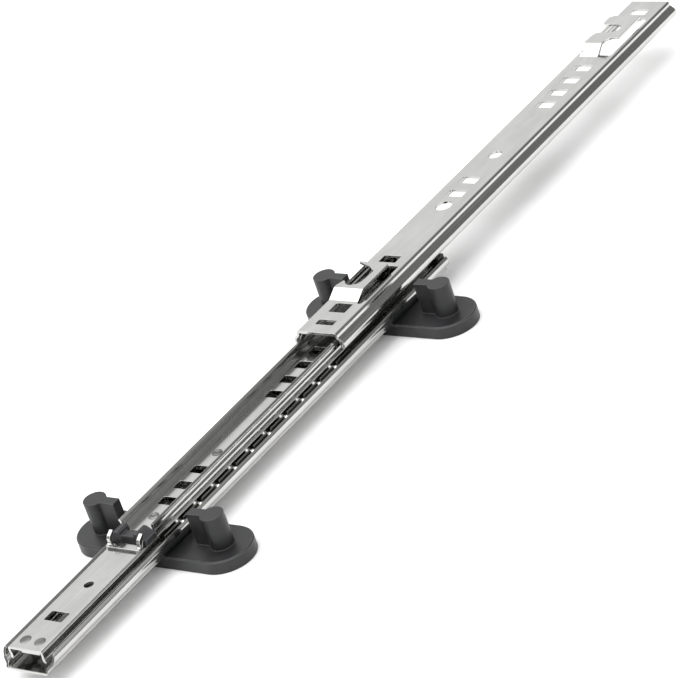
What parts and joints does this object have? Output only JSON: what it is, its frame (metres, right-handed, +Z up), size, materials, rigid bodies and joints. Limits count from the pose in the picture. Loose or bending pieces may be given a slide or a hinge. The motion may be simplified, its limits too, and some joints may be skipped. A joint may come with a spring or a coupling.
{
  "type": "cabinet drawer slide",
  "caption": "Ball-bearing drawer slide: two steel C rails facing each other on a double middle channel, with plastic peg feet and hooked tabs.",
  "frame": {"origin": "bottom centre of the slide's bounding box, with the drawer rail pulled out as at rest", "axes": "+X is the way the drawer pulls out, +Y is the left side seen along +X, +Z is up, away from the feet"},
  "size_m": [0.518, 0.0906, 0.0293],
  "materials": {
    "zinc_steel": "bright zinc plate",
    "cage_steel": "plain rolled strip",
    "ball_steel": "polished",
    "rivet_steel": "satin",
    "screw_steel": "satin",
    "foot_plastic": "moulded, matt dark grey",
    "buffer_plastic": "moulded, matt dark grey",
    "black_plastic": "moulded, satin black"
  },
  "bodies": {
    "cabinet_side": {"cabinet_rail": "zinc_steel", "rear_foot": "foot_plastic", "front_foot": "foot_plastic", "foot_screws": "screw_steel", "cage_stop_left": "black_plastic", "cage_stop_right": "black_plastic"},
    "middle_member": {"lower_inner_rail": "zinc_steel", "upper_inner_rail": "zinc_steel", "middle_rivets": "rivet_steel", "rear_stop": "zinc_steel", "front_stop": "zinc_steel", "stop_rivets": "rivet_steel", "stop_bracket": "zinc_steel", "stop_buffer": "buffer_plastic"},
    "drawer_side": {"drawer_rail": "zinc_steel"},
    "lower_ball_cage": {"lower_cage": "cage_steel", "lower_balls_left": "ball_steel", "lower_balls_right": "ball_steel"},
    "upper_ball_cage": {"upper_cage": "cage_steel", "upper_balls_left": "ball_steel", "upper_balls_right": "ball_steel"}
  },
  "joints": [
    {"name": "middle_slide", "type": "slide", "parent": "cabinet_side", "child": "middle_member", "axis": [1, 0, 0], "range_m": [0, 0.14]},
    {"name": "drawer_slide", "type": "slide", "parent": "middle_member", "child": "drawer_side", "axis": [1, 0, 0], "range_m": [-0.218, 0]},
    {"name": "lower_cage_roll", "type": "slide", "parent": "cabinet_side", "child": "lower_ball_cage", "axis": [1, 0, 0], "range_m": [0, 0.07]},
    {"name": "upper_cage_roll", "type": "slide", "parent": "middle_member", "child": "upper_ball_cage", "axis": [1, 0, 0], "range_m": [-0.109, 0]}
  ],
  "couplings": [
    {"joint": "lower_cage_roll", "follows": "middle_slide", "ratio": 0.5},
    {"joint": "upper_cage_roll", "follows": "drawer_slide", "ratio": 0.5}
  ]
}
